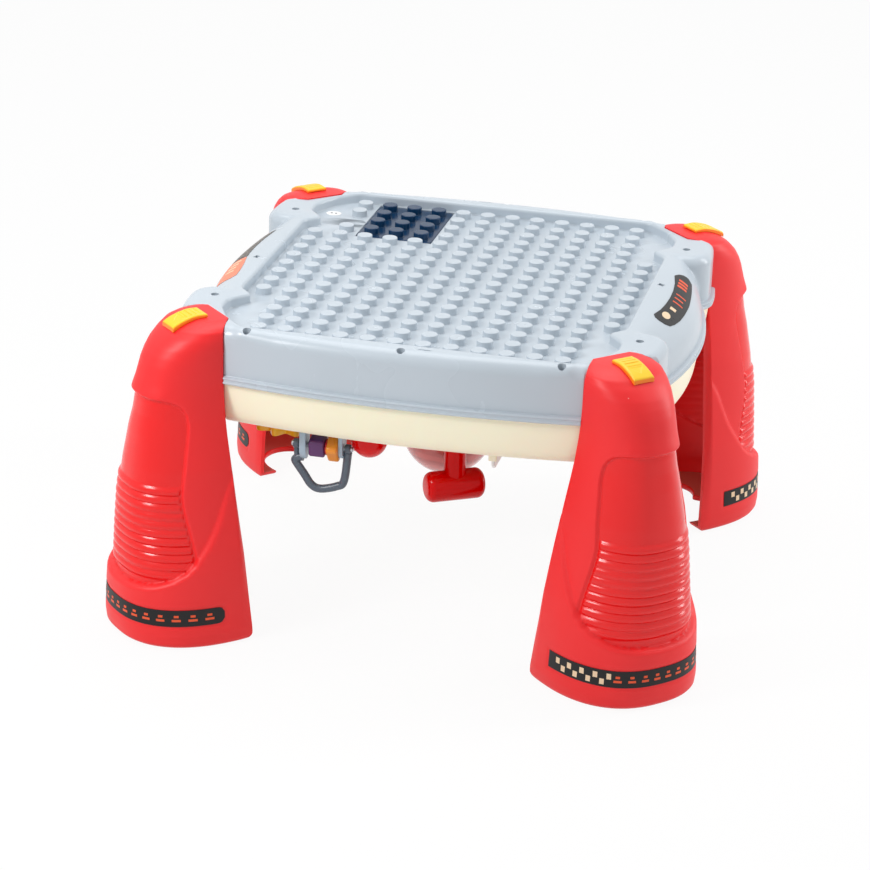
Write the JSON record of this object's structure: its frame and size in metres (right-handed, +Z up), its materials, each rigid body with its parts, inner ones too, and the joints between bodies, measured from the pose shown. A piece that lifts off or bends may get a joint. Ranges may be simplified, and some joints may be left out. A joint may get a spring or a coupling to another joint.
{
  "type": "musical activity table",
  "caption": "Low children's play table with a stud deck, four hollow plug-in legs, and music keys, gears and beads below.",
  "frame": {"origin": "centre of the footprint on the floor", "axes": "+Z up, +X to the right along the front edge, +Y to the back"},
  "size_m": [0.3486, 0.3486, 0.1907],
  "materials": {
    "deck_grey": "satin moulded plastic, pale blue-grey",
    "shell_cream": "satin moulded plastic, cream",
    "door_navy": "satin moulded plastic, navy",
    "contact_brass": "bright strip",
    "cell_jacket": "printed jacket, plain",
    "screw_steel": "plated steel",
    "leg_red": "satin moulded plastic, red",
    "latch_yellow": "satin moulded plastic, yellow",
    "spring_steel": "spring wire",
    "gear_yellow": "moulded plastic",
    "gear_blue": "moulded plastic",
    "gear_cap_orange": "moulded plastic",
    "bracket_blue_grey": "moulded plastic",
    "axle_steel": "drawn rod",
    "bead_purple": "moulded plastic",
    "bead_red": "moulded plastic",
    "bead_orange": "moulded plastic",
    "loop_slate": "moulded plastic, blue-grey",
    "button_red": "glossy moulded plastic",
    "washer_white": "plain plastic",
    "dome_clear_red": "translucent plastic",
    "board_green": "coated board",
    "flap_white": "moulded plastic",
    "key_white": "moulded plastic",
    "rubber_grey": "moulded rubber",
    "mode_orange": "moulded plastic",
    "body_black": "moulded plastic"
  },
  "bodies": {
    "table": {"stud_deck": "deck_grey", "battery_tray": "deck_grey", "lower_shell": "shell_cream", "dome_button_bridge": "shell_cream", "contact_strip_front": "contact_brass", "contact_strip_back": "contact_brass", "battery_cell_1": "cell_jacket", "battery_cell_2": "cell_jacket", "battery_cell_3": "cell_jacket", "shell_screw_1": "screw_steel", "shell_screw_2": "screw_steel", "shell_screw_3": "screw_steel", "shell_screw_4": "screw_steel", "shell_screw_5": "screw_steel", "shell_screw_6": "screw_steel", "leg_front_right": "leg_red", "latch_spring_front_right": "spring_steel", "leg_back_right": "leg_red", "latch_spring_back_right": "spring_steel", "leg_back_left": "leg_red", "latch_spring_back_left": "spring_steel", "leg_front_left": "leg_red", "latch_spring_front_left": "spring_steel", "gear_cap_1": "gear_cap_orange", "gear_cap_2": "gear_cap_orange", "bead_bracket": "bracket_blue_grey", "bead_axle": "axle_steel", "key_rod": "axle_steel", "dome_button_spring": "spring_steel", "light_dome": "dome_clear_red", "lamp_board": "board_green", "key_board": "board_green", "circuit_board": "board_green", "key_rubber": "rubber_grey", "switch_body": "body_black", "loudspeaker": "body_black"},
    "latch_front_right": {"latch_button_front_right": "latch_yellow"},
    "latch_back_right": {"latch_button_back_right": "latch_yellow"},
    "latch_back_left": {"latch_button_back_left": "latch_yellow"},
    "latch_front_left": {"latch_button_front_left": "latch_yellow"},
    "battery_door": {"battery_door": "door_navy"},
    "gear_yellow": {"gear_yellow": "gear_yellow"},
    "gear_blue": {"gear_blue": "gear_blue"},
    "bead_purple": {"bead_purple": "bead_purple"},
    "bead_red": {"bead_red": "bead_red"},
    "bead_orange": {"bead_orange": "bead_orange"},
    "hanging_loop": {"hanging_loop": "loop_slate"},
    "dome_button": {"dome_button": "button_red"},
    "turning_handle": {"turning_handle": "button_red", "handle_washer": "washer_white"},
    "hanging_flap": {"hanging_flap": "flap_white"},
    "switch_knob": {"switch_knob": "door_navy"},
    "piano_key_1": {"piano_key_1": "key_white"},
    "piano_key_2": {"piano_key_2": "key_white"},
    "piano_key_3": {"piano_key_3": "key_white"},
    "piano_key_4": {"piano_key_4": "key_white"},
    "piano_key_5": {"piano_key_5": "key_white"},
    "mode_button_1": {"mode_button_1": "mode_orange"},
    "mode_button_2": {"mode_button_2": "mode_orange"},
    "mode_button_3": {"mode_button_3": "mode_orange"}
  },
  "joints": [
    {"name": "door_hinge", "type": "hinge", "parent": "table", "child": "battery_door", "pos_m": [-0.032, 0.096, 0.1807], "axis": [0, 1, 0], "range_deg": [0, 65]},
    {"name": "latch_slide_front_right", "type": "slide", "parent": "table", "child": "latch_front_right", "axis": [0.7071, -0.7071, 0], "range_m": [0, 0.006], "stiffness_N_per_m": 300, "springref_m": -0.003, "deforming": ["latch_spring_front_right"]},
    {"name": "latch_slide_back_right", "type": "slide", "parent": "table", "child": "latch_back_right", "axis": [0.7071, 0.7071, 0], "range_m": [0, 0.006], "stiffness_N_per_m": 300, "springref_m": -0.003, "deforming": ["latch_spring_back_right"]},
    {"name": "latch_slide_back_left", "type": "slide", "parent": "table", "child": "latch_back_left", "axis": [-0.7071, 0.7071, 0], "range_m": [0, 0.006], "stiffness_N_per_m": 300, "springref_m": -0.003, "deforming": ["latch_spring_back_left"]},
    {"name": "latch_slide_front_left", "type": "slide", "parent": "table", "child": "latch_front_left", "axis": [-0.7071, -0.7071, 0], "range_m": [0, 0.006], "stiffness_N_per_m": 300, "springref_m": -0.003, "deforming": ["latch_spring_front_left"]},
    {"name": "gear_turn", "type": "hinge", "parent": "table", "child": "gear_yellow", "pos_m": [-0.078, -0.093, 0.12], "axis": [0, 0, 1], "continuous": true},
    {"name": "second_gear_turn", "type": "hinge", "parent": "table", "child": "gear_blue", "pos_m": [-0.08534, -0.05847, 0.12], "axis": [0, 0, 1], "continuous": true},
    {"name": "bead_purple_spin", "type": "hinge", "parent": "table", "child": "bead_purple", "pos_m": [-0.055, -0.119, 0.115], "axis": [1, 0, 0], "continuous": true},
    {"name": "bead_red_spin", "type": "hinge", "parent": "table", "child": "bead_red", "pos_m": [-0.0495, -0.119, 0.115], "axis": [1, 0, 0], "continuous": true},
    {"name": "bead_orange_spin", "type": "hinge", "parent": "table", "child": "bead_orange", "pos_m": [-0.044, -0.119, 0.115], "axis": [1, 0, 0], "continuous": true},
    {"name": "loop_swing", "type": "hinge", "parent": "table", "child": "hanging_loop", "pos_m": [-0.0495, -0.119, 0.115], "axis": [1, 0, 0], "range_deg": [-60, 60]},
    {"name": "dome_button_press", "type": "slide", "parent": "table", "child": "dome_button", "axis": [0, 0, 1], "range_m": [0, 0.0025], "stiffness_N_per_m": 250, "springref_m": -0.003, "deforming": ["dome_button_spring"]},
    {"name": "handle_turn", "type": "hinge", "parent": "table", "child": "turning_handle", "pos_m": [0.0265, -0.11, 0.115], "axis": [0, 0, 1], "range_deg": [-30, 30]},
    {"name": "flap_swing", "type": "hinge", "parent": "table", "child": "hanging_flap", "pos_m": [0.052, -0.108, 0.1244], "axis": [0, 1, 0], "range_deg": [-70, 70]},
    {"name": "key_1_press", "type": "hinge", "parent": "table", "child": "piano_key_1", "pos_m": [-0.056, 0.121, 0.134], "axis": [-1, 0, 0], "range_deg": [0, 3], "stiffness_Nm_per_rad": 0.4, "springref_deg": -4.58},
    {"name": "key_2_press", "type": "hinge", "parent": "table", "child": "piano_key_2", "pos_m": [-0.028, 0.121, 0.134], "axis": [-1, 0, 0], "range_deg": [0, 3], "stiffness_Nm_per_rad": 0.4, "springref_deg": -4.58},
    {"name": "key_3_press", "type": "hinge", "parent": "table", "child": "piano_key_3", "pos_m": [0, 0.121, 0.134], "axis": [-1, 0, 0], "range_deg": [0, 3], "stiffness_Nm_per_rad": 0.4, "springref_deg": -4.58},
    {"name": "key_4_press", "type": "hinge", "parent": "table", "child": "piano_key_4", "pos_m": [0.028, 0.121, 0.134], "axis": [-1, 0, 0], "range_deg": [0, 3], "stiffness_Nm_per_rad": 0.4, "springref_deg": -4.58},
    {"name": "key_5_press", "type": "hinge", "parent": "table", "child": "piano_key_5", "pos_m": [0.056, 0.121, 0.134], "axis": [-1, 0, 0], "range_deg": [0, 3], "stiffness_Nm_per_rad": 0.4, "springref_deg": -4.58},
    {"name": "mode_1_press", "type": "slide", "parent": "table", "child": "mode_button_1", "axis": [0, 0, 1], "range_m": [0, 0.0015], "stiffness_N_per_m": 200, "springref_m": -0.002},
    {"name": "mode_2_press", "type": "slide", "parent": "table", "child": "mode_button_2", "axis": [0, 0, 1], "range_m": [0, 0.0015], "stiffness_N_per_m": 200, "springref_m": -0.002},
    {"name": "mode_3_press", "type": "slide", "parent": "table", "child": "mode_button_3", "axis": [0, 0, 1], "range_m": [0, 0.0015], "stiffness_N_per_m": 200, "springref_m": -0.002},
    {"name": "switch_slide", "type": "slide", "parent": "table", "child": "switch_knob", "axis": [0, 1, 0], "range_m": [0, 0.01]}
  ],
  "couplings": [
    {"joint": "second_gear_turn", "follows": "gear_turn", "ratio": -1}
  ]
}
